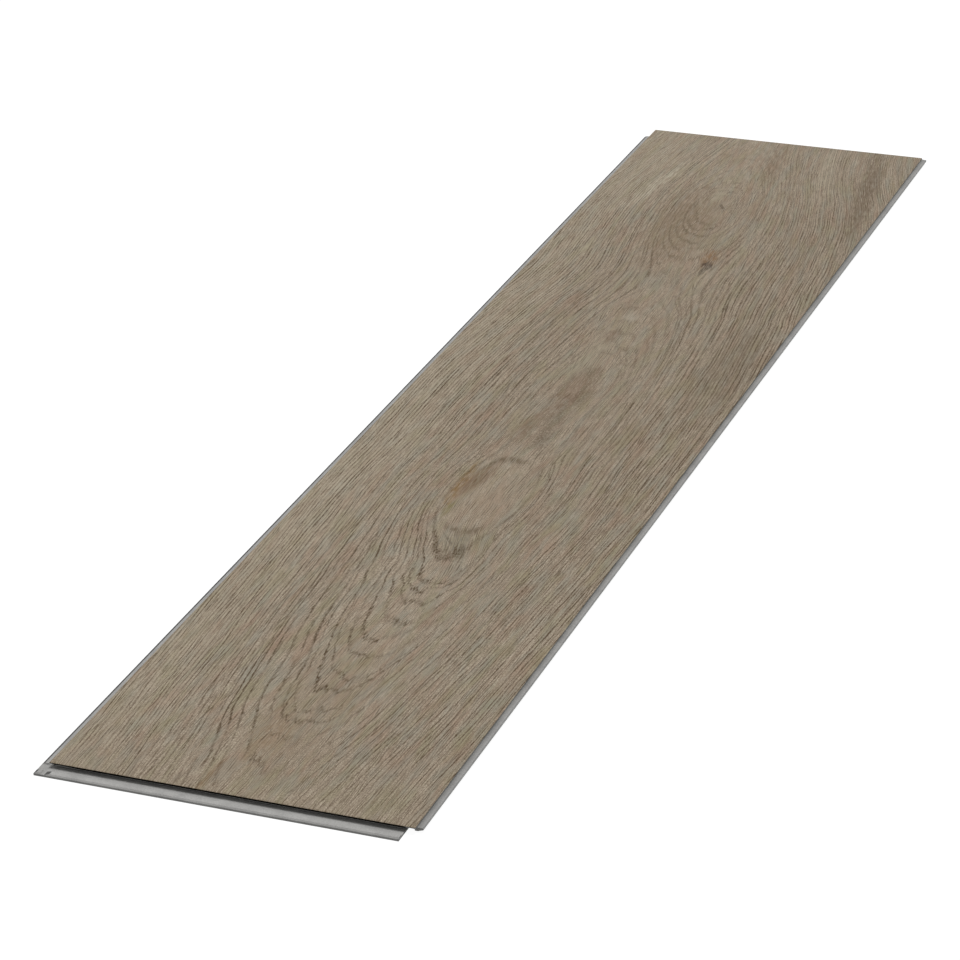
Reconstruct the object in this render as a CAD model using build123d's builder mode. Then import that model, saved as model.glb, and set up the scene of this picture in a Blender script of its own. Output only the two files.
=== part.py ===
import os

from build123d import *

# Click vinyl floor plank, lying flat with its printed face up.
# X runs across the plank, Y along it and Z up. The origin is on the underside, below the middle of the face.
# The long edges join by angling the tongue into the next plank's groove, and the short ends by dropping the
# hook onto the next plank's lower lip. Each pair is drawn from the same values, so that like planks fit.

# Board
face_length = 1220.0
face_width = 254.0
thickness = 6.0
wear_layer_thickness = 0.6
bevel_width = 0.7
bevel_depth = 0.35

# Both locks
lip_thickness = 1.5
lock_height = 0.9
fit_gap = 0.1
end_gap = 0.4
foot_radius = 0.15
crest_radius = 0.2
edge_radius = 0.3

# Long edges: tongue on +X, groove with its lower lip on -X
tongue_reach = 4.0
tongue_depth = 1.9
tongue_fall = 0.25
nose_height = 1.3
nose_radius = 0.5
heel_outside = 0.6
heel_inside = 1.6
heel_radius = 0.8
side_lock_run = 0.7
side_lip_reach = 7.0
side_lip_slope = 2.0

# Short ends: lower lip with its ridge at -Y, hook at +Y
end_lip_reach = 9.4
end_lip_slope = 0.9
hook_length = 4.5
end_lock_run = 0.25
undercut_depth = 3.8
undercut_radius = 0.8
rake_run = 0.9
rake_drop = 1.0
snap_rib_reach = 0.8
snap_rib_land = 0.5
snap_rib_drop = 0.4

# Levels, all counted up from the underside
core_top = thickness - wear_layer_thickness
lip_crest = lip_thickness + lock_height
heel_level = lip_thickness + fit_gap
recess_roof = lip_crest + fit_gap
tongue_top = thickness - tongue_depth
nose_top = tongue_top - tongue_fall
nose_bottom = nose_top - nose_height
undercut_roof = core_top - rake_drop
rib_top = core_top - snap_rib_drop
rib_nose_top = rib_top - snap_rib_reach * rake_drop / rake_run
rib_nose_bottom = rib_nose_top - snap_rib_land
rib_bottom = rib_nose_bottom - snap_rib_reach

# Places across and along the plank
right_edge = face_width / 2
left_edge = -right_edge
far_edge = face_length / 2
near_edge = -far_edge
side_recess = right_edge - side_lip_reach - end_gap
groove_back = left_edge + tongue_reach + end_gap
end_recess = far_edge - end_lip_reach - end_gap
ridge_foot = near_edge - hook_length - fit_gap
lip_end = near_edge - end_lip_reach

with BuildPart() as rigid_core:
    # Section across the plank, with both long edges
    with BuildSketch(Plane.XZ) as long_edges:
        with BuildLine():
            Polyline(
                # Tongue: closed joint face, upper side, blunt nose, heel and locking face, recess for the lip
                (right_edge, core_top),
                (right_edge, tongue_top),
                (right_edge + tongue_reach, nose_top),
                (right_edge + tongue_reach, nose_bottom),
                (right_edge + heel_outside, heel_level),
                (right_edge - heel_inside, heel_level),
                (right_edge - heel_inside - side_lock_run, recess_roof),
                (side_recess, recess_roof),
                (side_recess, 0),
                # Lower lip: outer end, crest, locking face and floor, then the groove for the tongue
                (left_edge - side_lip_reach, 0),
                (left_edge - side_lip_reach, lip_thickness),
                (left_edge - side_lip_reach + side_lip_slope, lip_crest),
                (left_edge - heel_inside - side_lock_run - fit_gap, lip_crest),
                (left_edge - heel_inside - fit_gap, lip_thickness),
                (left_edge + heel_outside, lip_thickness),
                (groove_back, nose_bottom - fit_gap),
                (groove_back, nose_top + fit_gap),
                (left_edge, tongue_top + fit_gap),
                (left_edge, core_top),
                close=True,
            )
        make_face()
        across = long_edges.vertices().group_by(Axis.X)
        lip_ends, lip_slope, lip_top, lip_foot, _, groove_floor, groove_corners = across[:7]
        recess_corners, lock_top, heel_end, _, heel_start, nose = across[7:]
        fillet(nose + groove_corners, nose_radius)
        fillet(heel_start + groove_floor, heel_radius)
        fillet(heel_end + lip_top, crest_radius)
        fillet(lock_top + lip_foot, foot_radius)
        fillet(lip_ends + lip_slope + recess_corners.sort_by(Axis.Y)[-1:], edge_radius)
    extrude(amount=face_length, both=True)

    # Section along the plank, with both short ends, cut through the full width
    with BuildSketch(Plane.YZ.offset(left_edge - side_lip_reach)) as short_ends:
        with BuildLine():
            Polyline(
                # Lower lip: raked face under the print, undercut, floor, ridge and front
                (near_edge, core_top),
                (near_edge + rake_run, undercut_roof),
                (near_edge + undercut_depth, undercut_roof),
                (near_edge + undercut_depth, lip_thickness),
                (ridge_foot, lip_thickness),
                (ridge_foot - end_lock_run, lip_crest),
                (lip_end + end_lip_slope, lip_crest),
                (lip_end, lip_thickness),
                (lip_end, 0),
                # Hook: recess for the lip, locking face, heel and the rib that snaps under the raked face
                (end_recess, 0),
                (end_recess, recess_roof),
                (far_edge - hook_length - end_lock_run, recess_roof),
                (far_edge - hook_length, heel_level),
                (far_edge, heel_level),
                (far_edge, rib_bottom),
                (far_edge + snap_rib_reach, rib_nose_bottom),
                (far_edge + snap_rib_reach, rib_nose_top),
                (far_edge, rib_top),
                (far_edge, core_top),
                close=True,
            )
        make_face()
        along = short_ends.vertices().group_by(Axis.X)
        lip_front, ridge_slope, ridge_top, ridge_base, _, _, undercut_corners = along[:7]
        roof_corners, hook_lock, hook_heel, hook_face, rib_nose = along[7:]
        fillet(undercut_corners, undercut_radius)
        fillet(rib_nose + ridge_top + hook_heel, crest_radius)
        fillet(ridge_base + hook_lock, foot_radius)
        fillet(lip_front + ridge_slope, edge_radius)
        fillet(roof_corners.sort_by(Axis.Y)[-1:] + hook_face.sort_by(Axis.Y)[:1], edge_radius)
    extrude(amount=side_lip_reach + face_width + tongue_reach, mode=Mode.INTERSECT)

    # The end lip stops at the recess of the tongue side, so that the neighbour's side lip can pass
    with BuildSketch(Plane.XY) as lip_corner:
        with Locations((side_recess, near_edge)):
            Rectangle(face_width, end_lip_reach, align=(Align.MIN, Align.MAX))
    extrude(amount=thickness, mode=Mode.SUBTRACT)

    # The side lip stops at the recess of the hook end, so that the next plank's end lip can pass
    with BuildSketch(Plane.XY) as hook_corner:
        with Locations((groove_back, end_recess)):
            Rectangle(face_width, face_length, align=(Align.MAX, Align.MIN))
    extrude(amount=recess_roof, mode=Mode.SUBTRACT)
rigid_core.part.label = "rigid_core"

with BuildPart() as wear_layer:
    # Printed film and clear wear layer as one sheet, bevelled all round its face
    with BuildSketch(Plane.XY.offset(core_top)) as face_outline:
        Rectangle(face_width, face_length)
    extrude(amount=wear_layer_thickness)
    printed_face = wear_layer.faces().sort_by(Axis.Z)[-1]
    chamfer(printed_face.edges(), length=bevel_width, length2=bevel_depth, reference=printed_face)
wear_layer.part.label = "wear_layer"

os.makedirs("parts", exist_ok=True)
for piece in (rigid_core, wear_layer):
    export_step(piece.part, f"parts/{piece.part.label}.step")
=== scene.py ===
import logging
import math
from collections.abc import Sequence
from dataclasses import dataclass
from enum import Enum

import bmesh
import bpy
from mathutils import Euler, Matrix, Vector


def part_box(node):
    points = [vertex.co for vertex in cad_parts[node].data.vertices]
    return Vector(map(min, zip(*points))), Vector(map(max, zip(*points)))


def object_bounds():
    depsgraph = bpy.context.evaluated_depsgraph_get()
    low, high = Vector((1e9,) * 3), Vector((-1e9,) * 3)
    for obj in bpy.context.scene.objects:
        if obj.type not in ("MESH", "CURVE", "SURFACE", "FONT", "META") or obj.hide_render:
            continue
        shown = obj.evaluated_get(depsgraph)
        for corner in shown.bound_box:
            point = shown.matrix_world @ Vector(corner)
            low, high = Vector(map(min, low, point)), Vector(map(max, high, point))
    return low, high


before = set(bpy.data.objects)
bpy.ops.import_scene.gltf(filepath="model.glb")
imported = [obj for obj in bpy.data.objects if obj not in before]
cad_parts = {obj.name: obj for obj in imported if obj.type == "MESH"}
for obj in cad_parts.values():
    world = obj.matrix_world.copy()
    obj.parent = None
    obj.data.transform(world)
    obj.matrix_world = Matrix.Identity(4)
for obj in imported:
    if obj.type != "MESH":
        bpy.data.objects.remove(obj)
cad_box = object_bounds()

log = logging.getLogger("plank")

MM = 0.001
SMOOTH = "SMOOTHSTEP"
# Step between neighbouring rows of pores in the noise that breaks them, so that no row repeats the next
ROW_STEP = 7.31

Colour = tuple[float, float, float, float]
Source = bpy.types.NodeSocket | float | tuple[float, ...]


class Node(Enum):
    """The plank's two pieces, by the names of their solids."""

    CORE = "rigid_core"
    FACE = "wear_layer"


def linear(hex_colour: str) -> Colour:
    """Turns an sRGB hex colour to the linear values that shaders take.

    Args:
        hex_colour: A # and six hex digits.

    Returns:
        Linear red, green and blue, with an alpha of 1.
    """
    channels = [int(hex_colour[i:i + 2], 16) / 255 for i in (1, 3, 5)]
    red, green, blue = (c / 12.92 if c <= 0.04045 else ((c + 0.055) / 1.055) ** 2.4 for c in channels)
    return red, green, blue, 1.0


def grey(value: float) -> Colour:
    """Returns a ramp colour that carries one number."""
    return value, value, value, 1.0


def add(
    tree: bpy.types.NodeTree,
    kind: str,
    inputs: dict[int | str, Source] | None = None,
    out: int | str = 0,
    stops: Sequence[tuple[float, Colour]] = (),
    curve: str = "LINEAR",
    **settings: object,
) -> bpy.types.NodeSocket:
    """Adds one shader node with its settings and links.

    Args:
        tree: The node tree that gets the node.
        kind: Blender's name for the node, without ShaderNode.
        inputs: A socket to link or a value to set for each input, by its name or number.
        out: The name or number of the output that is wanted.
        stops: The places and colours of a colour ramp.
        curve: How a colour ramp goes from stop to stop.
        settings: The node's own properties, such as operation.

    Returns:
        The wanted output.
    """
    node = tree.nodes.new("ShaderNode" + kind)
    for name, value in settings.items():
        setattr(node, name, value)
    if stops:
        node.color_ramp.interpolation = curve
        elements = node.color_ramp.elements
        elements.remove(elements[-1])
        elements[0].position, elements[0].color = stops[0]
        for place, colour in stops[1:]:
            elements.new(place).color = colour
    for key, source in (inputs or {}).items():
        if isinstance(source, bpy.types.NodeSocket):
            tree.links.new(source, node.inputs[key])
        else:
            node.inputs[key].default_value = source
    return node.outputs[out]


@dataclass(frozen=True)
class Fade:
    """An even change from one level to another, while a measure goes from start to end.

    Attributes:
        start: The measure at which the change starts.
        end: The measure at which it ends.
        first: The level up to the start.
        last: The level from the end on.
    """

    start: float
    end: float
    first: float = 0.0
    last: float = 1.0

    def of(self, measure: bpy.types.NodeSocket) -> dict[int | str, Source]:
        """Returns the inputs of a Map Range node that makes the change by a measure."""
        return {0: measure, 1: self.start, 2: self.end, 3: self.first, 4: self.last}


@dataclass(frozen=True)
class Streaks:
    """Uneven streaks along the fibres, by the size of one of them, in millimetres.

    Attributes:
        width: Its width across the fibres.
        length: Its length along them.
        detail: How many finer layers the streaks have.
    """

    width: float
    length: float
    detail: float = 1.0

    def draw(
        self, tree: bpy.types.NodeTree, fibre: bpy.types.NodeSocket, along: bpy.types.NodeSocket
    ) -> bpy.types.NodeSocket:
        """Draws the streaks.

        Args:
            tree: The print's node tree.
            fibre: Distance across the fibres, in millimetres.
            along: Distance from the near end, in millimetres.

        Returns:
            The streaks, from 0 to 1.
        """
        column = add(tree, "Math", {0: fibre, 1: self.width}, operation="DIVIDE")
        row = add(tree, "Math", {0: along, 1: self.length}, operation="DIVIDE")
        # The width is the third coordinate, so that streaks of two widths don't follow each other
        spot = add(tree, "CombineXYZ", {0: column, 1: row, 2: self.width})
        return add(tree, "TexNoise", {"Vector": spot, "Scale": 1.0, "Detail": self.detail})


@dataclass(frozen=True)
class Station:
    """The log under one place along the plank, in millimetres.

    Attributes:
        along: Distance from the near end.
        heart: Distance of the log's heart from the left side.
        depth: Depth of the heart below the face.
        spread: Distance between the fibres, as a share of the usual one.
        figure: How strongly the ring lines show over the heart, from 0 to 1.
    """

    along: float
    heart: float
    depth: float
    spread: float
    figure: float


@dataclass(frozen=True)
class Place:
    """Where a point of the face lies in the log, as sockets of the print's node tree, in millimetres.

    Attributes:
        along: Distance from the near end.
        across: Distance from the left side.
        fibre: Distance across the grain, with the fibres drawn straight.
        side: Distance to the right of the heart.
        beside: Distance to either side of the heart.
        radius: Distance from the heart's axis below the face.
        figure: How strongly the ring lines show over the heart, from 0 to 1.
    """

    along: bpy.types.NodeSocket
    across: bpy.types.NodeSocket
    fibre: bpy.types.NodeSocket
    side: bpy.types.NodeSocket
    beside: bpy.types.NodeSocket
    radius: bpy.types.NodeSocket
    figure: bpy.types.NodeSocket


@dataclass(frozen=True)
class SawnLog:
    """The tapering log that the print's board was sawn from, in millimetres.

    Attributes:
        heart_width: Half of the width over which the rings lie flat above the heart.
        middle: Distance of the middle line from the left side, by the distance from the near end.
        heart_reach: How the fibres turn from the heart's line to the middle line, by the distance from it.
        drift_size: Size of the slow drift of the fibres.
        drift: How far the fibres drift.
        depth_span: Depth that a full ramp colour stands for.
        spread_span: Spread that a full ramp colour stands for.
        stations: The log under places along the plank.
    """

    heart_width: float = 6.0
    middle: Fade = Fade(850.0, 1220.0, 130.0, 104.0)
    heart_reach: Fade = Fade(10.0, 70.0)
    drift_size: Streaks = Streaks(30.0, 200.0)
    drift: Fade = Fade(0.25, 0.75, -2.0, 2.0)
    depth_span: float = 100.0
    spread_span: float = 1.5
    stations: tuple[Station, ...] = (
        Station(0, 133, 64, 0.97, 0.8),
        Station(100, 135, 53, 0.98, 1.0),
        Station(200, 138, 42, 0.99, 1.0),
        Station(300, 141, 31, 1.0, 0.9),
        Station(345, 140, 26, 1.01, 1.0),
        Station(392, 131, 20.8, 1.02, 0.7),
        Station(450, 129, 10, 1.03, 0.25),
        Station(513, 128, 20.8, 1.04, 0.6),
        Station(540, 128, 24.4, 1.05, 0.5),
        Station(600, 129, 25, 1.05, 0.45),
        Station(690, 130, 26.5, 1.03, 0.45),
        Station(815, 125, 39, 0.97, 0.4),
        Station(880, 123, 46, 0.93, 0.6),
        Station(950, 118, 39, 0.9, 0.7),
        Station(1040, 114, 27, 0.84, 0.65),
        Station(1110, 110, 36, 0.76, 0.45),
        Station(1220, 104, 56, 0.66, 0.4),
    )

    def place(self, tree: bpy.types.NodeTree, point: bpy.types.NodeSocket, size: Vector) -> Place:
        """Finds each point's place in the log.

        Args:
            tree: The print's node tree.
            point: The point on the face, from its near left corner, in millimetres.
            size: The face's size, in millimetres.

        Returns:
            The point's place in the log.
        """
        stops = []
        for s in self.stations:
            shape = (s.heart / size.x, s.depth / self.depth_span, s.spread / self.spread_span, s.figure)
            stops.append((s.along / size.y, shape))
        across = add(tree, "SeparateXYZ", {0: point}, out="X")
        along = add(tree, "SeparateXYZ", {0: point}, out="Y")
        share = add(tree, "Math", {0: along, 1: size.y}, operation="DIVIDE")
        stations = add(tree, "ValToRGB", {0: share}, stops=stops, curve="CARDINAL")
        figure = stations.node.outputs["Alpha"]
        heart = add(tree, "SeparateColor", {0: stations}, out="Red")
        heart = add(tree, "Math", {0: heart, 1: size.x}, operation="MULTIPLY")
        depth = add(tree, "SeparateColor", {0: stations}, out="Green")
        depth = add(tree, "Math", {0: depth, 1: self.depth_span}, operation="MULTIPLY")
        spread = add(tree, "SeparateColor", {0: stations}, out="Blue")
        spread = add(tree, "Math", {0: spread, 1: self.spread_span}, operation="MULTIPLY")

        middle = add(tree, "MapRange", self.middle.of(along), interpolation_type=SMOOTH)
        away = add(tree, "Math", {0: across, 1: middle}, operation="SUBTRACT")
        away = add(tree, "Math", {0: away}, operation="ABSOLUTE")
        reach = {**self.heart_reach.of(away), 3: heart, 4: middle}
        heart = add(tree, "MapRange", reach, interpolation_type=SMOOTH)
        side = add(tree, "Math", {0: across, 1: heart}, operation="SUBTRACT")
        fibre = add(tree, "Math", {0: side, 1: spread}, operation="DIVIDE")
        beside = add(tree, "Math", {0: fibre}, operation="ABSOLUTE")
        beside = add(tree, "Math", {0: beside, 1: self.heart_width}, operation="SUBTRACT")
        beside = add(tree, "Math", {0: beside, 1: 0.0}, operation="MAXIMUM")
        radius = add(tree, "CombineXYZ", {0: beside, 1: depth})
        radius = add(tree, "VectorMath", {0: radius}, out="Value", operation="LENGTH")
        drift = self.drift_size.draw(tree, fibre, along)
        drift = add(tree, "MapRange", self.drift.of(drift))
        fibre = add(tree, "Math", {0: fibre, 1: drift}, operation="ADD")
        return Place(along, across, fibre, side, beside, radius, figure)


@dataclass(frozen=True)
class RingLines:
    """Dark lines of pores, one for each ring of the log.

    Over the heart they are thin jagged arches, and beside it straight rows that break into dashes and
    beads. Real pores are about 0.3 mm wide. The lines are drawn wider, and wider still along the plank, so
    that they show.

    Attributes:
        radii: Radii of the rings over the heart, in millimetres.
        free: Radius inside which there is no ring, in millimetres.
        gap: Distance between the rings past the last radius, in millimetres.
        beyond: Number of rings past the last radius.
        flank: How far a point counts as beside the heart, by its distance from it in millimetres.
        sway_size: Size of the slow bends of a ring.
        sway: How far a ring bends, in millimetres.
        sway_share: Share of the bend that is kept, over the heart and beside it.
        jag_size: Size of a ring's jags.
        jag: How far the jags reach, in millimetres.
        jag_share: Share of the jags that is kept, over the heart and beside it.
        right_numbers: Number added to the rings on the right, so that they differ from those on the left.
        earliest: Earliest place of a line in its ring, on the left and on the right.
        latest: Latest place of a line in its ring, on the left and on the right.
        darkness: Darkness of a line, by chance.
        core: Half width of a line's full darkness, in millimetres.
        half_width: Half width of a line, over the heart and beside it, in millimetres.
        swell: How the lines widen, by the distance from the near end in millimetres.
        dash_length: Length of a dash, in millimetres.
        dash_turn: Distance across the plank over which a dash changes, in millimetres.
        dash_detail: How many finer layers the dashes have.
        dash_roughness: How strong the finer layers are.
        dash: How much of a line the dashes leave.
        bead_size: Size of the beads.
        bead: How much of a line the beads leave, apart from their gaps.
        bead_gap: What is left of a line in the gaps between the beads, over the heart and beside it.
        right_branch: How the arches weaken to the right of the heart, in millimetres.
        arch_ink: Darkness of the arches against that of the straight rows.
        ink: Darkness of all lines.
        near_end: How the lines weaken at the near end, in millimetres.
        far_end: How the lines weaken at the far end, in millimetres.
    """

    radii: tuple[float, ...] = (
        26.5, 28.9, 31.2, 33.7, 36.0, 38.9, 42.2, 45.8, 48.0, 51.3, 53.5, 56.9, 59.8, 65.0,
    )
    free: float = 23.5
    gap: float = 2.5
    beyond: int = 75
    flank: Fade = Fade(8.0, 40.0)
    sway_size: Streaks = Streaks(22.0, 150.0)
    sway: Fade = Fade(0.25, 0.75, -1.6, 1.6)
    sway_share: Fade = Fade(0.0, 1.0, 0.3, 1.0)
    jag_size: Streaks = Streaks(1.2, 22.0)
    jag: Fade = Fade(0.25, 0.75, -0.6, 0.6)
    jag_share: Fade = Fade(0.0, 1.0, 1.0, 0.4)
    right_numbers: float = 100.0
    earliest: Fade = Fade(0.0, 1.0, 0.32, 0.2)
    latest: Fade = Fade(0.0, 1.0, 0.68, 0.8)
    darkness: Fade = Fade(0.0, 1.0, 0.5, 1.0)
    core: float = 0.1
    half_width: Fade = Fade(0.0, 1.0, 0.4, 0.56)
    swell: Fade = Fade(100.0, 650.0, 1.0, 1.6)
    dash_length: float = 45.0
    dash_turn: float = 10.0
    dash_detail: float = 4.0
    dash_roughness: float = 0.62
    dash: Fade = Fade(0.32, 0.6, 0.15, 1.0)
    bead_size: Streaks = Streaks(0.9, 3.0)
    bead: Fade = Fade(0.35, 0.6)
    bead_gap: Fade = Fade(0.0, 1.0, 0.25, 0.45)
    right_branch: Fade = Fade(4.0, 20.0, 1.0, 0.62)
    arch_ink: float = 1.1
    ink: float = 1.5
    near_end: Fade = Fade(0.0, 120.0, 0.72, 1.0)
    far_end: Fade = Fade(880.0, 1160.0, 1.0, 0.68)

    def draw(self, tree: bpy.types.NodeTree, spot: Place) -> bpy.types.NodeSocket:
        """Draws the lines.

        Args:
            tree: The print's node tree.
            spot: The point's place in the log.

        Returns:
            The lines' darkness, from 0 to 1.
        """
        flank = add(tree, "MapRange", self.flank.of(spot.beside))
        year, gap = self.count(tree, self.bend(tree, spot, flank))
        right = add(tree, "Math", {0: spot.side, 1: 0.0}, operation="GREATER_THAN")
        ring = add(tree, "Math", {0: year}, operation="FLOOR")
        ring = add(tree, "Math", {0: right, 1: self.right_numbers, 2: ring}, operation="MULTIPLY_ADD")
        chance = add(tree, "TexWhiteNoise", {"W": ring}, noise_dimensions="1D")
        darkness = add(tree, "SeparateColor", {0: chance.node.outputs["Color"]}, out="Green")
        darkness = add(tree, "MapRange", self.darkness.of(darkness))
        earliest = add(tree, "MapRange", self.earliest.of(right))
        latest = add(tree, "MapRange", self.latest.of(right))
        middle = add(tree, "MapRange", {0: chance, 3: earliest, 4: latest})
        off = add(tree, "Math", {0: year}, operation="FRACT")
        off = add(tree, "Math", {0: off, 1: middle}, operation="SUBTRACT")
        off = add(tree, "Math", {0: off}, operation="ABSOLUTE")
        off = add(tree, "Math", {0: off, 1: gap}, operation="MULTIPLY")
        wide = add(tree, "MapRange", self.half_width.of(flank))
        swell = add(tree, "MapRange", self.swell.of(spot.along))
        wide = add(tree, "Math", {0: wide, 1: swell}, operation="MULTIPLY")
        profile = {0: off, 1: self.core, 2: wide, 3: 1.0, 4: 0.0}
        line = add(tree, "MapRange", profile, interpolation_type=SMOOTH)
        for part in (*self.breaks(tree, spot, flank, ring), darkness, *self.inks(tree, spot, flank)):
            line = add(tree, "Math", {0: line, 1: part}, operation="MULTIPLY")
        return line

    def bend(
        self, tree: bpy.types.NodeTree, spot: Place, flank: bpy.types.NodeSocket
    ) -> bpy.types.NodeSocket:
        """Bends the rings, which sway beside the heart and are jagged over it.

        Args:
            tree: The print's node tree.
            spot: The point's place in the log.
            flank: How far the point counts as beside the heart.

        Returns:
            The point's radius among the bent rings, in millimetres.
        """
        sway = self.sway_size.draw(tree, spot.fibre, spot.along)
        sway = add(tree, "MapRange", self.sway.of(sway))
        share = add(tree, "MapRange", self.sway_share.of(flank))
        radius = add(tree, "Math", {0: sway, 1: share, 2: spot.radius}, operation="MULTIPLY_ADD")
        jag = self.jag_size.draw(tree, spot.fibre, spot.along)
        jag = add(tree, "MapRange", self.jag.of(jag))
        share = add(tree, "MapRange", self.jag_share.of(flank))
        return add(tree, "Math", {0: jag, 1: share, 2: radius}, operation="MULTIPLY_ADD")

    def count(
        self, tree: bpy.types.NodeTree, radius: bpy.types.NodeSocket
    ) -> tuple[bpy.types.NodeSocket, bpy.types.NodeSocket]:
        """Counts the rings outwards from the heart.

        Args:
            tree: The print's node tree.
            radius: The point's radius among the rings, in millimetres.

        Returns:
            The ring's number with the share of it that is passed, and its width in millimetres.
        """
        span = self.radii[-1] + self.beyond * self.gap
        count = len(self.radii) + self.beyond
        stops = [(self.free / span, grey(0.5 / count))]
        stops += [(r / span, grey((i + 1) / count)) for i, r in enumerate(self.radii)]
        stops += [(1.0, grey(1.0))]
        gaps = [b - a for a, b in zip(self.radii, self.radii[1:])] + [self.gap]
        widest = max(gaps)
        gap_stops = [(r / span, grey(g / widest)) for r, g in zip(self.radii, gaps)]
        share = add(tree, "Math", {0: radius, 1: span}, operation="DIVIDE")
        gap = add(tree, "ValToRGB", {0: share}, stops=gap_stops, curve="CONSTANT")
        gap = add(tree, "Math", {0: gap, 1: widest}, operation="MULTIPLY")
        year = add(tree, "ValToRGB", {0: share}, stops=stops)
        # Half a ring is added, so that each radius falls in the middle of its ring
        year = add(tree, "Math", {0: year, 1: count, 2: 0.5}, operation="MULTIPLY_ADD")
        return year, gap

    def breaks(
        self,
        tree: bpy.types.NodeTree,
        spot: Place,
        flank: bpy.types.NodeSocket,
        ring: bpy.types.NodeSocket,
    ) -> tuple[bpy.types.NodeSocket, bpy.types.NodeSocket]:
        """Breaks the lines into dashes and beads.

        Args:
            tree: The print's node tree.
            spot: The point's place in the log.
            flank: How far the point counts as beside the heart.
            ring: The ring's number.

        Returns:
            What is left of the lines by the dashes, and by the beads.
        """
        seed = add(tree, "Math", {0: ring, 1: ROW_STEP}, operation="MULTIPLY")
        run = add(tree, "Math", {0: spot.along, 1: self.dash_length}, operation="DIVIDE")
        turn = add(tree, "Math", {0: spot.across, 1: self.dash_turn}, operation="DIVIDE")
        dash = add(tree, "CombineXYZ", {0: seed, 1: run, 2: turn})
        layers = {"Scale": 1.0, "Detail": self.dash_detail, "Roughness": self.dash_roughness}
        dash = add(tree, "TexNoise", {"Vector": dash, **layers})
        dash = add(tree, "MapRange", self.dash.of(dash))
        bead = self.bead_size.draw(tree, spot.fibre, spot.along)
        gap = add(tree, "MapRange", self.bead_gap.of(flank))
        bead = add(tree, "MapRange", {**self.bead.of(bead), 3: gap})
        return dash, bead

    def inks(
        self, tree: bpy.types.NodeTree, spot: Place, flank: bpy.types.NodeSocket
    ) -> tuple[bpy.types.NodeSocket, bpy.types.NodeSocket, bpy.types.NodeSocket]:
        """Sets how dark the lines are over the heart, beside it and at both ends.

        Args:
            tree: The print's node tree.
            spot: The point's place in the log.
            flank: How far the point counts as beside the heart.

        Returns:
            The lines' ink, and its shares at the near end and at the far end.
        """
        arch = add(tree, "MapRange", self.right_branch.of(spot.side))
        arch = add(tree, "Math", {0: spot.figure, 1: arch}, operation="MULTIPLY")
        arch = add(tree, "Math", {0: arch, 1: self.arch_ink}, operation="MULTIPLY")
        ink = add(tree, "MapRange", {0: flank, 3: arch, 4: 1.0})
        ink = add(tree, "Math", {0: ink, 1: self.ink}, operation="MULTIPLY")
        near = add(tree, "MapRange", self.near_end.of(spot.along))
        far = add(tree, "MapRange", self.far_end.of(spot.along))
        return ink, near, far


@dataclass(frozen=True)
class FibreDashes:
    """Short fine dashes along the fibres, between the rings. Real ones are finer, and wouldn't show.

    Attributes:
        gap: Distance between the rows of dashes, in millimetres.
        length: Length of a dash, in millimetres.
        sway_size: Size of the rows' bends.
        sway: How far the rows bend, in rows.
        line: Darkness of a dash, by the distance from its middle in rows.
        detail: How many finer layers the dashes have.
        dash: How much of a row the dashes leave.
    """

    gap: float = 1.5
    length: float = 20.0
    sway_size: Streaks = Streaks(8.0, 60.0)
    sway: Fade = Fade(0.25, 0.75, -1.0, 1.0)
    line: Fade = Fade(0.06, 0.28, 0.85, 0.0)
    detail: float = 2.0
    dash: Fade = Fade(0.4, 0.68, 0.05, 1.0)

    def draw(self, tree: bpy.types.NodeTree, spot: Place) -> bpy.types.NodeSocket:
        """Draws the dashes.

        Args:
            tree: The print's node tree.
            spot: The point's place in the log.

        Returns:
            The dashes' darkness, from 0 to 1.
        """
        phase = add(tree, "Math", {0: spot.fibre, 1: self.gap}, operation="DIVIDE")
        sway = self.sway_size.draw(tree, spot.fibre, spot.along)
        sway = add(tree, "MapRange", self.sway.of(sway))
        phase = add(tree, "Math", {0: phase, 1: sway}, operation="ADD")
        row = add(tree, "Math", {0: phase}, operation="FLOOR")
        off = add(tree, "Math", {0: phase}, operation="FRACT")
        off = add(tree, "Math", {0: off, 1: 0.5}, operation="SUBTRACT")
        off = add(tree, "Math", {0: off}, operation="ABSOLUTE")
        line = add(tree, "MapRange", self.line.of(off), interpolation_type=SMOOTH)
        seed = add(tree, "Math", {0: row, 1: ROW_STEP}, operation="MULTIPLY")
        run = add(tree, "Math", {0: spot.along, 1: self.length}, operation="DIVIDE")
        dash = add(tree, "CombineXYZ", {0: seed, 1: run})
        dash = add(tree, "TexNoise", {"Vector": dash, "Scale": 1.0, "Detail": self.detail})
        dash = add(tree, "MapRange", self.dash.of(dash))
        return add(tree, "Math", {0: line, 1: dash}, operation="MULTIPLY")


@dataclass(frozen=True)
class Tint:
    """A colour that comes and goes in soft streaks along the grain.

    Attributes:
        colour: Its sRGB colour.
        size: Size of its streaks.
    """

    colour: str
    size: Streaks


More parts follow.
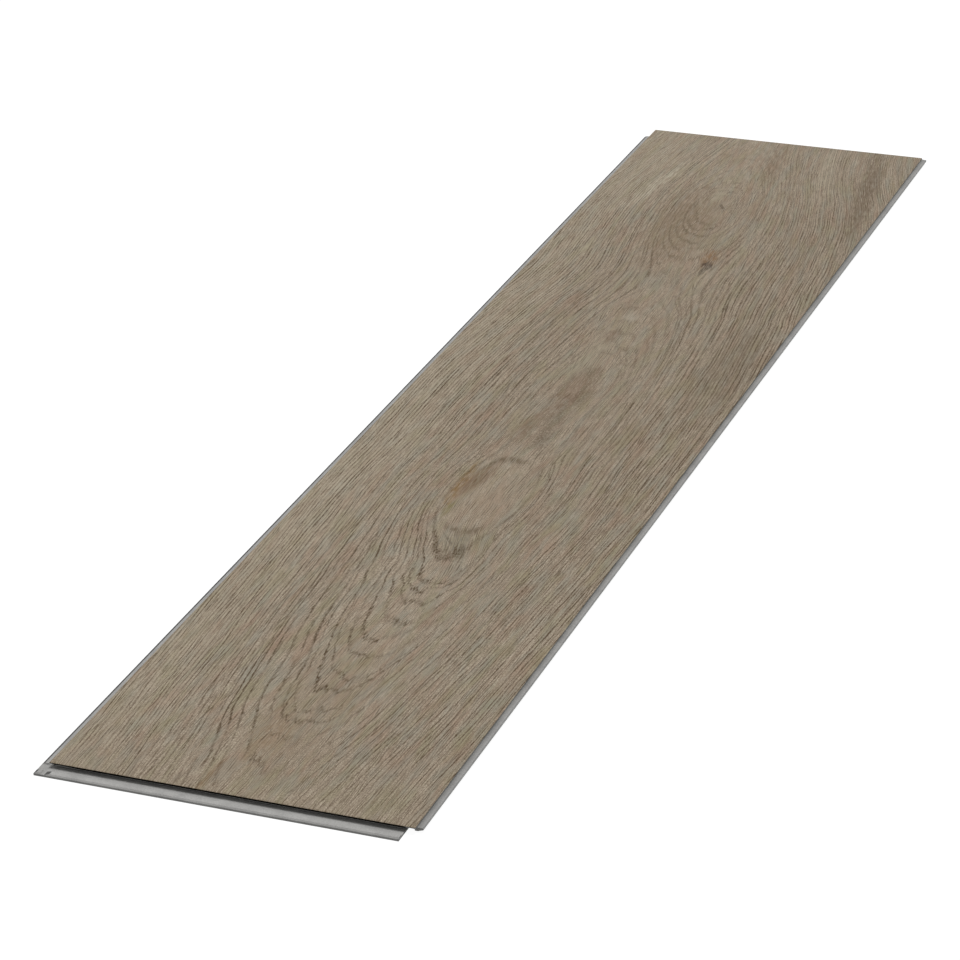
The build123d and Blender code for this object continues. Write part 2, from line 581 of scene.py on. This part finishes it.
@dataclass(frozen=True)
class WoodTone:
    """The wood's colour between the pores, in soft bands along the grain.

    Single pores are finer than the grain drawn here, which is as coarse as it needs to be to show.

    Attributes:
        pale: sRGB colour of the light bands.
        deep: sRGB colour of the dark bands.
        pore: sRGB colour of the pores.
        fine: Size of the narrow bands.
        broad: Size of the wide bands.
        broad_share: Share of the wide bands.
        deep_up_to: Level of the bands up to which they are dark.
        pale_from: Level of the bands from which they are light.
        grain_size: Size of the grain.
        grain: Darkness of the grain.
        tints: A warm, an olive and a cool tint.
        tint: Strength of the tints.
    """

    pale: str = "#BDAF9B"
    deep: str = "#9F907D"
    pore: str = "#4C3B25"
    fine: Streaks = Streaks(1.05, 13.0)
    broad: Streaks = Streaks(16.0, 180.0)
    broad_share: float = 0.3
    deep_up_to: float = 0.36
    pale_from: float = 0.62
    grain_size: Streaks = Streaks(0.9, 1.4)
    grain: Fade = Fade(0.3, 0.7, 0.0, 0.62)
    tints: tuple[Tint, ...] = (
        Tint("#917560", Streaks(9.0, 60.0, 2.0)),
        Tint("#888363", Streaks(11.0, 50.0, 2.0)),
        Tint("#8F8F82", Streaks(9.0, 45.0, 2.0)),
    )
    tint: Fade = Fade(0.48, 0.68, 0.0, 0.46)

    def draw(self, tree: bpy.types.NodeTree, spot: Place) -> bpy.types.NodeSocket:
        """Draws the bands, the grain and the tints.

        Args:
            tree: The print's node tree.
            spot: The point's place in the log.

        Returns:
            The wood's colour.
        """
        fine = self.fine.draw(tree, spot.fibre, spot.along)
        broad = self.broad.draw(tree, spot.fibre, spot.along)
        bands = add(tree, "Mix", {0: self.broad_share, 2: fine, 3: broad})
        stops = [(self.deep_up_to, linear(self.deep)), (self.pale_from, linear(self.pale))]
        colour = add(tree, "ValToRGB", {0: bands}, stops=stops)
        grain = self.grain_size.draw(tree, spot.fibre, spot.along)
        grain = add(tree, "MapRange", self.grain.of(grain))
        colour = add(tree, "Mix", {0: grain, 6: colour, 7: linear(self.pore)}, out=2, data_type="RGBA")
        for tint in self.tints:
            amount = tint.size.draw(tree, spot.fibre, spot.along)
            amount = add(tree, "MapRange", self.tint.of(amount))
            layer = {0: amount, 6: colour, 7: linear(tint.colour)}
            colour = add(tree, "Mix", layer, out=2, data_type="RGBA")
        return colour


@dataclass(frozen=True)
class Stain:
    """A tinted place in the wood, drawn out along the grain, in millimetres.

    Attributes:
        along: Distance of its middle from the near end.
        across: Distance of its middle from the left side.
        length: Half of its length.
        width: Half of its width.
        turn: Turn against the long axis, in degrees.
        colour: Its sRGB colour.
        strength: How much of the wood's own colour it hides, from 0 to 1.
        ring: Radius of the one ring that it follows, or 0 for a stain that fills its place.
    """

    along: float
    across: float
    length: float
    width: float
    turn: float
    colour: str
    strength: float
    ring: float = 0.0


@dataclass(frozen=True)
class StainedPlaces:
    """The wood's stains, the eye's pocket and rim, the twig knot with its cup, and broad pale and brown
    fields.

    Attributes:
        ragged_size: Size of the streaks in which the stains run out.
        ragged: How far they run out across and along, in stain sizes.
        fleck_size: Size of the flecks in the stains.
        flecks: Strength of the stains in the flecks and between them.
        full_at: How far inside its edge a stain is at its full strength, from 0 to 1.
        ring_band: How a stain that follows a ring fades, by the distance from it in millimetres.
        stains: The stains.
    """

    ragged_size: Streaks = Streaks(2.2, 14.0, 2.0)
    ragged: tuple[float, float, float] = (0.9, 1.3, 0.0)
    fleck_size: Streaks = Streaks(1.3, 9.0)
    flecks: Fade = Fade(0.35, 0.65, 0.45, 1.4)
    full_at: float = 0.75
    ring_band: Fade = Fade(0.0, 2.0, 1.0, 0.0)
    stains: tuple[Stain, ...] = (
        # The first three are broad fields: paler along the left side, darker over the right toward the far
        # end
        Stain(610, 0, 900, 75, 0, "#B0A48F", 0.45),
        Stain(1150, 30, 160, 60, 0, "#B0A48F", 0.25),
        Stain(800, 170, 620, 170, 0, "#7E6F5B", 0.25),
        Stain(120, 130, 170, 45, 0, "#86755F", 0.3),
        Stain(18, 106, 28, 5, 0, "#7C6244", 0.5),
        Stain(75, 122, 40, 18, 0, "#8C755A", 0.35),
        Stain(460, 103, 50, 6, 2, "#7F6238", 0.75),
        Stain(422, 109, 20, 5, 3, "#746B40", 0.6),
        Stain(474, 112, 40, 10, -8, "#664E36", 0.75),
        Stain(450, 130, 90, 34, 0, "#94836E", 0.4),
        Stain(369, 138, 26, 13, 12, "#787062", 0.6),
        Stain(377, 126, 18, 1.8, 39, "#4F4434", 0.45),
        Stain(355, 136, 11, 1.6, -10, "#4F4434", 0.4),
        Stain(344, 144, 2.4, 9, 0, "#4F4434", 0.35),
        Stain(392, 134, 34, 26, 0, "#5E4F3A", 0.55, 21.0),
        Stain(511, 120, 36, 30, 0, "#5E4F3A", 0.75, 21.0),
        Stain(568, 115, 45, 9, -3, "#775F4A", 0.5),
        Stain(652, 126, 70, 16, -3, "#775F4A", 0.5),
        Stain(715, 118, 70, 20, 0, "#9A907B", 0.5),
        Stain(756, 120, 22, 7, 0, "#6A4D3C", 0.4),
        Stain(797, 122, 16, 9, 10, "#A8A08F", 0.5),
        Stain(816, 115, 22, 8, 0, "#686050", 0.25),
        Stain(720, 228, 150, 34, 3, "#776A57", 0.5),
        Stain(1000, 98, 130, 46, 4, "#7F6D57", 0.65),
        Stain(934, 145, 32, 12, 8, "#7C5D3D", 0.7),
        Stain(909, 147, 15, 3.2, 0, "#3A2A1C", 0.9),
        Stain(916, 150, 10, 3.6, 0, "#33251A", 0.9),
        Stain(923, 146, 9, 5, 0, "#33251A", 0.9),
        Stain(890, 153, 34, 9, 4, "#A29682", 0.45),
        Stain(1052, 118, 8, 2.2, 25, "#4A3A2A", 0.65),
        Stain(1076, 107, 26, 9, 4, "#A19882", 0.6),
        Stain(1085, 46, 80, 9, -9, "#B3A995", 0.75),
        Stain(1120, 230, 160, 14, 8, "#6F5F4C", 0.75),
        Stain(1160, 182, 100, 14, 9, "#A89C88", 0.65),
        Stain(1165, 132, 80, 12, 6, "#7A6650", 0.45),
    )

    def draw(
        self,
        tree: bpy.types.NodeTree,
        point: bpy.types.NodeSocket,
        spot: Place,
        colour: bpy.types.NodeSocket,
    ) -> bpy.types.NodeSocket:
        """Draws the stains, with edges that run out along the grain.

        Args:
            tree: The print's node tree.
            point: The point on the face, from its near left corner, in millimetres.
            spot: The point's place in the log.
            colour: The wood's colour.

        Returns:
            The wood's colour with its stains.
        """
        steps = (1 / self.ragged_size.width, 1 / self.ragged_size.length, 0.0)
        streaks = add(tree, "VectorMath", {0: point, 1: steps}, operation="MULTIPLY")
        layers = {"Scale": 1.0, "Detail": self.ragged_size.detail}
        streaks = add(tree, "TexNoise", {"Vector": streaks, **layers}, out="Color")
        streaks = add(tree, "VectorMath", {0: streaks, 1: (0.5, 0.5, 0.5)}, operation="SUBTRACT")
        flecks = self.fleck_size.draw(tree, spot.fibre, spot.along)
        flecks = add(tree, "MapRange", self.flecks.of(flecks))
        for stain in self.stains:
            local = add(
                tree,
                "Mapping",
                {
                    "Vector": point,
                    "Location": (stain.across, stain.along, 0.0),
                    "Rotation": (0.0, 0.0, math.radians(stain.turn)),
                    "Scale": (stain.width, stain.length, 1.0),
                },
                vector_type="TEXTURE",
            )
            shift = {0: streaks, 1: self.ragged, 2: local}
            ragged = add(tree, "VectorMath", shift, operation="MULTIPLY_ADD")
            amount = add(tree, "TexGradient", {0: ragged}, out="Fac", gradient_type="SPHERICAL")
            inside = Fade(0.0, self.full_at, 0.0, stain.strength)
            amount = add(tree, "MapRange", inside.of(amount), interpolation_type=SMOOTH)
            amount = add(tree, "Math", {0: amount, 1: flecks}, operation="MULTIPLY")
            if stain.ring:
                band = add(tree, "Math", {0: spot.radius, 1: stain.ring}, operation="SUBTRACT")
                band = add(tree, "Math", {0: band}, operation="ABSOLUTE")
                band = add(tree, "MapRange", self.ring_band.of(band), interpolation_type=SMOOTH)
                amount = add(tree, "Math", {0: amount, 1: band}, operation="MULTIPLY")
            layer = {0: amount, 6: colour, 7: linear(stain.colour)}
            colour = add(tree, "Mix", layer, out=2, data_type="RGBA")
        return colour


@dataclass(frozen=True)
class OakPrint:
    """Greige oak printed on vinyl film, under a clear satin wear layer embossed along the pores.

    The eye gets rows of fine dark pores along the rings, which run along the length and close to pointed
    arches and ovals over the heart of the log, soft warm and olive bands, a dark cut edge at the near end
    that also carries painted shade, and a dull sheen.

    Attributes:
        name: The material's name.
        edge: sRGB colour of the film's dark cut edge at the near end, which also stands for painted shade
            there.
        edge_tilt: How far a face counts as an edge, by the upward part of its normal.
        near_facing: How far a face looks to the near end, by the lengthwise part of its normal.
        roughness: Roughness of the wear layer.
        specular: Specular level of the wear layer.
        emboss_depth: Depth of the embossed pores, in millimetres.
        sawn: The log.
        rings: The lines of pores along the rings.
        fibres: The dashes between the rings.
        tone: The wood's colour.
        stained: The stains.
    """

    name: str = "oak_print_vinyl"
    edge: str = "#2A241E"
    edge_tilt: Fade = Fade(0.3, 0.6, 1.0, 0.0)
    near_facing: Fade = Fade(-0.5, -0.1, 1.0, 0.0)
    roughness: float = 0.6
    specular: float = 0.2
    emboss_depth: float = 0.1
    sawn: SawnLog = SawnLog()
    rings: RingLines = RingLines()
    fibres: FibreDashes = FibreDashes()
    tone: WoodTone = WoodTone()
    stained: StainedPlaces = StainedPlaces()

    def material(self) -> bpy.types.Material:
        """Makes the print's material.

        Returns:
            The material, which reads the face's own coordinates.
        """
        made = bpy.data.materials.new(self.name)
        made.use_nodes = True
        tree = made.node_tree
        low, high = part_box(Node.FACE.value)
        size = (high - low) / MM
        coordinates = add(tree, "TexCoord", out="Object")
        corner = (-low.x / MM, -low.y / MM, 0.0)
        shift = {0: coordinates, 1: (1 / MM, 1 / MM, 0.0), 2: corner}
        point = add(tree, "VectorMath", shift, operation="MULTIPLY_ADD")
        spot = self.sawn.place(tree, point, size)
        rings = self.rings.draw(tree, spot)
        fibres = self.fibres.draw(tree, spot)
        dark = add(tree, "Math", {0: rings, 1: fibres}, operation="MAXIMUM")
        colour = self.tone.draw(tree, spot)
        colour = self.stained.draw(tree, point, spot, colour)
        colour = add(tree, "Mix", {0: dark, 6: colour, 7: linear(self.tone.pore)}, out=2, data_type="RGBA")
        # Film's dark cut edge with painted shade: only faces that look to the near end, under the overhang,
        # get the near-black colour and lose their sheen
        normal = add(tree, "NewGeometry", out="Normal")
        edge_and_shade = add(tree, "SeparateXYZ", {0: normal}, out="Z")
        edge_and_shade = add(tree, "MapRange", self.edge_tilt.of(edge_and_shade))
        facing = add(tree, "SeparateXYZ", {0: normal}, out="Y")
        facing = add(tree, "MapRange", self.near_facing.of(facing))
        edge_and_shade = add(tree, "Math", {0: edge_and_shade, 1: facing}, operation="MULTIPLY")
        colour = add(tree, "Mix", {0: edge_and_shade, 6: colour, 7: linear(self.edge)}, out=2, data_type="RGBA")
        relief = add(tree, "Math", {0: 1.0, 1: dark}, operation="SUBTRACT")
        bump = add(tree, "Bump", {"Height": relief, "Strength": 1.0, "Distance": self.emboss_depth * MM})
        sheen = add(tree, "MapRange", {0: edge_and_shade, 3: self.specular, 4: 0.0})
        shader = tree.nodes["Principled BSDF"]
        shader.inputs["Roughness"].default_value = self.roughness
        tree.links.new(sheen, shader.inputs["Specular IOR Level"])
        tree.links.new(colour, shader.inputs["Base Color"])
        tree.links.new(bump, shader.inputs["Normal"])
        return made


@dataclass(frozen=True)
class FilledVinyl:
    """Rigid vinyl filled with chalk, milled along its edges.

    The eye gets flat light grey with fine grit. Painted shade darkens the lips' gentle slopes, the joint
    faces in the recess under the near end and the upper right wall, and lies lightly on the tongue and the
    left lip.

    Attributes:
        name: The material's name.
        light: sRGB colour of the light grit.
        dark: sRGB colour of the dark grit.
        light_from: Level of the grit from which it is light.
        dark_up_to: Level of the grit up to which it is dark.
        slope_shade: sRGB colour of the painted shade on the lips' gentle slopes.
        slope_tilts: Upward part of the normal for the painted shade on slopes: from none to full, and from
            full to none.
        painted_shade_colour: sRGB colour of the painted shade on the joint faces, the tongue and the left
            lip.
        roughness: Roughness of the milled vinyl.
        specular: Specular level of the milled vinyl.
        grit: Size of the grit, in millimetres, coarse enough to show.
        grit_detail: How many finer layers the grit has.
        grit_depth: Depth of the grit, in millimetres.
        grit_strength: Strength of the grit's relief.
        cloud: Size of the faint clouds in the grey, in millimetres.
        cloud_detail: How many finer layers the clouds have.
        cloud_share: Share of the clouds.
        near_facing: Lengthwise part of the normal below which a face looks to the near end.
        joint_shade_from: Height from which the near joint faces get painted shade, in millimetres.
        joint_shade_taper: Length over which the painted shade's foot comes down from the left, in
            millimetres.
        joint_shade_taper_from: Height of the painted shade's foot at the left, in millimetres.
        joint_shade_stop: Distance at which the near painted shade stops before the right side, in
            millimetres.
        joint_shade_out: Distance that the near painted shade reaches out of the face, in millimetres.
        right_facing: Strength of the right wall's painted shade, by the crosswise part of the normal.
        wall_shade_from: Height from which the right wall gets painted shade, in millimetres.
        upward: How far a face looks up, by the upward part of its normal.
        tongue_reach: How far the tongue stands out of the right wall, in millimetres.
        tongue_shade: Shade on the tongue at the wall.
        nose_shade: Shade on the tongue at its nose.
        lip_shade: Shade on the left lip.
    """

    name: str = "mineral_filled_vinyl"
    light: str = "#B3B2AF"
    dark: str = "#9C9B99"
    light_from: float = 0.62
    dark_up_to: float = 0.35
    slope_shade: str = "#454443"
    slope_tilts: tuple[float, float, float, float] = (0.86, 0.9, 0.97, 0.992)
    painted_shade_colour: str = "#1C1A18"
    roughness: float = 0.7
    specular: float = 0.3
    grit: float = 0.9
    grit_detail: float = 3.0
    grit_depth: float = 0.05
    grit_strength: float = 0.5
    cloud: float = 14.0
    cloud_detail: float = 2.0
    cloud_share: float = 0.45
    near_facing: float = -0.3
    joint_shade_from: float = 1.9
    joint_shade_taper: float = 18.0
    joint_shade_taper_from: float = 2.6
    joint_shade_stop: float = 7.4
    joint_shade_out: float = 0.5
    right_facing: Fade = Fade(0.5, 0.9, 0.0, 0.36)
    wall_shade_from: float = 4.15
    upward: Fade = Fade(0.3, 0.7)
    tongue_reach: float = 4.0
    tongue_shade: float = 0.44
    nose_shade: float = 0.1
    lip_shade: float = 0.1

    def material(self) -> bpy.types.Material:
        """Makes the core's material.

        Returns:
            The material, which reads the core's own coordinates.
        """
        made = bpy.data.materials.new(self.name)
        made.use_nodes = True
        tree = made.node_tree
        coordinates = add(tree, "TexCoord", out="Object")
        normal = add(tree, "NewGeometry", out="Normal")
        layers = {"Scale": 1 / (self.grit * MM), "Detail": self.grit_detail}
        grit = add(tree, "TexNoise", {"Vector": coordinates, **layers})
        layers = {"Scale": 1 / (self.cloud * MM), "Detail": self.cloud_detail}
        clouds = add(tree, "TexNoise", {"Vector": coordinates, **layers})
        tone = add(tree, "Mix", {0: self.cloud_share, 2: grit, 3: clouds})
        stops = [(self.dark_up_to, linear(self.dark)), (self.light_from, linear(self.light))]
        colour = add(tree, "ValToRGB", {0: tone}, stops=stops)
        # Painted shade: faces that tilt a little, such as the lips' outer slopes, are mixed toward dark grey
        tilt = add(tree, "SeparateXYZ", {0: normal}, out="Z")
        stops = [(place, grey(share)) for place, share in zip(self.slope_tilts, (0.0, 1.0, 1.0, 0.0))]
        painted_slope_shade = add(tree, "ValToRGB", {0: tilt}, stops=stops)
        colour = add(tree, "Mix", {0: painted_slope_shade, 6: colour, 7: linear(self.slope_shade)}, out=2, data_type="RGBA")
        # Painted shade: the recess under the near end, the upper right wall, the tongue and the left lip are
        # mixed toward near black
        painted_joint_shade = self.painted_joint_shade(tree, coordinates, normal)
        shaded = self.shaded(tree, coordinates, normal)
        dark = add(tree, "Math", {0: painted_joint_shade, 1: shaded}, operation="MAXIMUM")
        colour = add(tree, "Mix", {0: dark, 6: colour, 7: linear(self.painted_shade_colour)}, out=2, data_type="RGBA")
        relief = {"Height": grit, "Strength": self.grit_strength, "Distance": self.grit_depth * MM}
        bump = add(tree, "Bump", relief)
        # The painted shade also takes away the sheen, so that it stays dark
        sheen = add(tree, "MapRange", {0: dark, 3: self.specular, 4: 0.0})
        shader = tree.nodes["Principled BSDF"]
        shader.inputs["Roughness"].default_value = self.roughness
        tree.links.new(sheen, shader.inputs["Specular IOR Level"])
        tree.links.new(colour, shader.inputs["Base Color"])
        tree.links.new(bump, shader.inputs["Normal"])
        return made

    def painted_joint_shade(
        self, tree: bpy.types.NodeTree, coordinates: bpy.types.NodeSocket, normal: bpy.types.NodeSocket
    ) -> bpy.types.NodeSocket:
        """Finds the joint faces that get painted shade: the recess under the face's near end, and its upper
        right wall.

        Args:
            tree: The core's node tree.
            coordinates: The point in the core's own coordinates, in metres.
            normal: The point's normal.

        Returns:
            The painted shade's strength, from 0 to 1.
        """
        low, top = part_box(Node.FACE.value)
        across = add(tree, "SeparateXYZ", {0: coordinates}, out="X")
        along = add(tree, "SeparateXYZ", {0: coordinates}, out="Y")
        height = add(tree, "SeparateXYZ", {0: coordinates}, out="Z")
        # The painted shade's foot sits higher at the left end, where light reaches further under the overhang
        taper_end = low.x + self.joint_shade_taper * MM
        taper = Fade(low.x, taper_end, self.joint_shade_taper_from * MM, self.joint_shade_from * MM)
        foot = add(tree, "MapRange", taper.of(across))
        limits = (
            add(tree, "Math", {0: height, 1: foot}, operation="GREATER_THAN"),
            add(tree, "Math", {0: across, 1: low.x}, operation="GREATER_THAN"),
            add(tree, "Math", {0: across, 1: top.x - self.joint_shade_stop * MM}, operation="LESS_THAN"),
            add(tree, "Math", {0: along, 1: low.y - self.joint_shade_out * MM}, operation="GREATER_THAN"),
        )
        near = add(tree, "SeparateXYZ", {0: normal}, out="Y")
        near = add(tree, "Math", {0: near, 1: self.near_facing}, operation="LESS_THAN")
        for limit in limits:
            near = add(tree, "Math", {0: near, 1: limit}, operation="MULTIPLY")
        # Painted shade on the upper right wall, above the tongue
        right = add(tree, "SeparateXYZ", {0: normal}, out="X")
        right = add(tree, "MapRange", self.right_facing.of(right))
        higher = add(tree, "Math", {0: height, 1: self.wall_shade_from * MM}, operation="GREATER_THAN")
        right = add(tree, "Math", {0: right, 1: higher}, operation="MULTIPLY")
        return add(tree, "Math", {0: near, 1: right}, operation="MAXIMUM")

    def shaded(
        self, tree: bpy.types.NodeTree, coordinates: bpy.types.NodeSocket, normal: bpy.types.NodeSocket
    ) -> bpy.types.NodeSocket:
        """Finds the shade on the tongue's upper side and on the left lip.

        Args:
            tree: The core's node tree.
            coordinates: The point in the core's own coordinates, in metres.
            normal: The point's normal.

        Returns:
            The shade's strength, from 0 to 1.
        """
        low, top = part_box(Node.FACE.value)
        across = add(tree, "SeparateXYZ", {0: coordinates}, out="X")
        upward = add(tree, "SeparateXYZ", {0: normal}, out="Z")
        upward = add(tree, "MapRange", self.upward.of(upward))
        tongue = add(tree, "Math", {0: across, 1: top.x}, operation="GREATER_THAN")
        tongue = add(tree, "Math", {0: tongue, 1: upward}, operation="MULTIPLY")
        nose = top.x + self.tongue_reach * MM
        reach = Fade(top.x, nose, self.tongue_shade, self.nose_shade)
        shade = add(tree, "MapRange", reach.of(across))
        shade = add(tree, "Math", {0: shade, 1: tongue}, operation="MULTIPLY")
        within = add(tree, "Math", {0: across, 1: low.x}, operation="GREATER_THAN")
        lip = add(tree, "MapRange", {0: within, 3: self.lip_shade, 4: 0.0})
        return add(tree, "Math", {0: shade, 1: lip}, operation="MAXIMUM")


@dataclass
class Plank:
    """The plank's two solids, which keep their shape and get their finishes.

    Attributes:
        core: Finish of the core.
        face: Finish of the face.
    """

    core: FilledVinyl = FilledVinyl()
    face: OakPrint = OakPrint()

    def dress(self) -> None:
        """Puts each finish on its solid."""
        for node, finish in ((Node.CORE, self.core), (Node.FACE, self.face)):
            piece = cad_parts[node.value]
            made = finish.material()
            if not piece.material_slots:
                piece.data.materials.append(made)
            for held in piece.material_slots:
                held.material = made
            log.info("%s dressed in %s", node.value, finish.name)


@dataclass
class Studio:
    """A plain white floor under an even sky and a soft sun almost overhead, a little to the far right.

    Lengths are in metres and angles in degrees. Azimuth 0 stands at the near end, and 90 on the right.

    Attributes:
        floor_half: Half of the floor's width.
        floor_drop: How far the floor lies below the plank, so that their faces don't coincide.
        floor_colour: sRGB colour of the floor, as it is seen.
        floor_glow: Brightness of the floor's own light.
        bounce_colour: sRGB colour of the floor, as it lights the plank.
        shadow_share: Share of the floor that is lit and takes the plank's shadow.
        sky_colour: sRGB colour of the sky.
        sky: Brightness of the sky, as it lights the plank.
        key_strength: Brightness of the sun.
        key_softness: Width of the sun.
        key_azimuth: Where the sun stands around the plank.
        key_elevation: How high the sun stands.
    """

    floor_half: float = 30.0
    floor_drop: float = 0.0001
    floor_colour: str = "#FFFFFF"
    floor_glow: float = 1.1
    bounce_colour: str = "#949494"
    shadow_share: float = 0.14
    sky_colour: str = "#FFFFFF"
    sky: float = 0.32
    key_strength: float = 1.95
    key_softness: float = 25.0
    key_azimuth: float = 125.0
    key_elevation: float = 78.0

    def background(self, tree: bpy.types.NodeTree) -> bpy.types.NodeSocket:
        """Tells the rays that see the background from those that carry light.

        Args:
            tree: The node tree of the floor or the sky.

        Returns:
            1 for camera, glossy and transmission rays, and otherwise 0.
        """
        seen = add(tree, "LightPath", out="Is Camera Ray")
        paths = seen.node.outputs
        for kind in ("Is Glossy Ray", "Is Transmission Ray"):
            seen = add(tree, "Math", {0: seen, 1: paths[kind]}, operation="MAXIMUM")
        return seen

    def paper(self) -> bpy.types.Material:
        """Makes the floor's white paper, which glows for the eye and sends back the light of grey.

        Returns:
            The material.
        """
        made = bpy.data.materials.new("white_paper_floor")
        made.use_nodes = True
        tree = made.node_tree
        tree.nodes.remove(tree.nodes["Principled BSDF"])
        lit = add(tree, "BsdfDiffuse", {"Color": linear(self.floor_colour)})
        white = add(tree, "Emission", {"Color": linear(self.floor_colour), "Strength": self.floor_glow})
        shown = add(tree, "MixShader", {0: self.shadow_share, 1: white, 2: lit})
        plain = add(tree, "BsdfDiffuse", {"Color": linear(self.bounce_colour)})
        surface = add(tree, "MixShader", {0: self.background(tree), 1: plain, 2: shown})
        tree.links.new(surface, tree.nodes["Material Output"].inputs["Surface"])
        return made

    def floor(self) -> bpy.types.Object:
        """Builds the floor, which shows white and keeps a faint shadow of the plank.

        Returns:
            The floor.
        """
        shape = bmesh.new()
        bmesh.ops.create_grid(shape, x_segments=1, y_segments=1, size=self.floor_half)
        bmesh.ops.translate(shape, verts=shape.verts, vec=(0.0, 0.0, cad_box[0].z - self.floor_drop))
        mesh = bpy.data.meshes.new("floor")
        shape.to_mesh(mesh)
        shape.free()
        mesh.materials.append(self.paper())
        floor = bpy.data.objects.new("floor", mesh)
        bpy.context.scene.collection.objects.link(floor)
        return floor

    def light(self) -> None:
        """Sets the even sky and the soft sun."""
        world = bpy.data.worlds.new("studio")
        bpy.context.scene.world = world
        world.use_nodes = True
        tree = world.node_tree
        strength = add(tree, "MapRange", {0: self.background(tree), 3: self.sky, 4: 1.0})
        sky = tree.nodes["Background"]
        sky.inputs["Color"].default_value = linear(self.sky_colour)
        tree.links.new(strength, sky.inputs["Strength"])
        lamp = bpy.data.lights.new("key", "SUN")
        lamp.energy = self.key_strength
        lamp.angle = math.radians(self.key_softness)
        key = bpy.data.objects.new("key", lamp)
        turn = Euler((0.0, 0.0, math.radians(self.key_azimuth))).to_matrix()
        tilt = Euler((math.radians(90 - self.key_elevation), 0.0, 0.0)).to_matrix()
        key.matrix_world = (turn @ tilt).to_4x4()
        bpy.context.scene.collection.objects.link(key)

    def build(self) -> None:
        """Builds the floor and sets the light."""
        self.floor()
        self.light()
        log.info("studio built")


@dataclass
class Viewpoint:
    """The photograph's camera: a long lens, from the near right and above.

    Lengths are in metres and angles in degrees. Azimuth 0 looks along +Y.

    Attributes:
        azimuth: Where the camera stands around the plank.
        elevation: How high the camera stands.
        roll: Turn of the picture.
        distance: Distance of the camera from its aim.
        aim: The point that the camera looks at.
        lens: Focal length, in millimetres.
        sensor: Width of the sensor, in millimetres.
    """

    azimuth: float = 21.9
    elevation: float = 25.81
    roll: float = -1.75
    distance: float = 2.6585
    aim: tuple[float, float, float] = (-0.0129, -0.1366, 0.006)
    lens: float = 134.2
    sensor: float = 36.0

    def build(self) -> bpy.types.Object:
        """Makes the camera and gives it to the scene.

        Returns:
            The camera.
        """
        eye = bpy.data.cameras.new("camera")
        eye.lens = self.lens
        eye.sensor_width = self.sensor
        eye.sensor_fit = "HORIZONTAL"
        camera = bpy.data.objects.new("camera", eye)
        turn = Euler((0.0, 0.0, math.radians(self.azimuth))).to_matrix()
        tilt = Euler((math.radians(90 - self.elevation), 0.0, 0.0)).to_matrix()
        roll = Euler((0.0, 0.0, math.radians(self.roll))).to_matrix()
        turned = turn @ tilt @ roll
        place = Vector(self.aim) + turned @ Vector((0.0, 0.0, self.distance))
        camera.matrix_world = Matrix.LocRotScale(place, turned, None)
        bpy.context.scene.collection.objects.link(camera)
        bpy.context.scene.camera = camera
        log.info("camera set")
        return camera


def main() -> None:
    """Dresses the plank, builds the studio around it and sets the camera."""
    logging.basicConfig(level=logging.INFO, format="%(name)s: %(message)s")
    bpy.context.scene.view_settings.view_transform = "Standard"
    Plank().dress()
    Studio().build()
    Viewpoint().build()


if __name__ == "__main__":
    main()
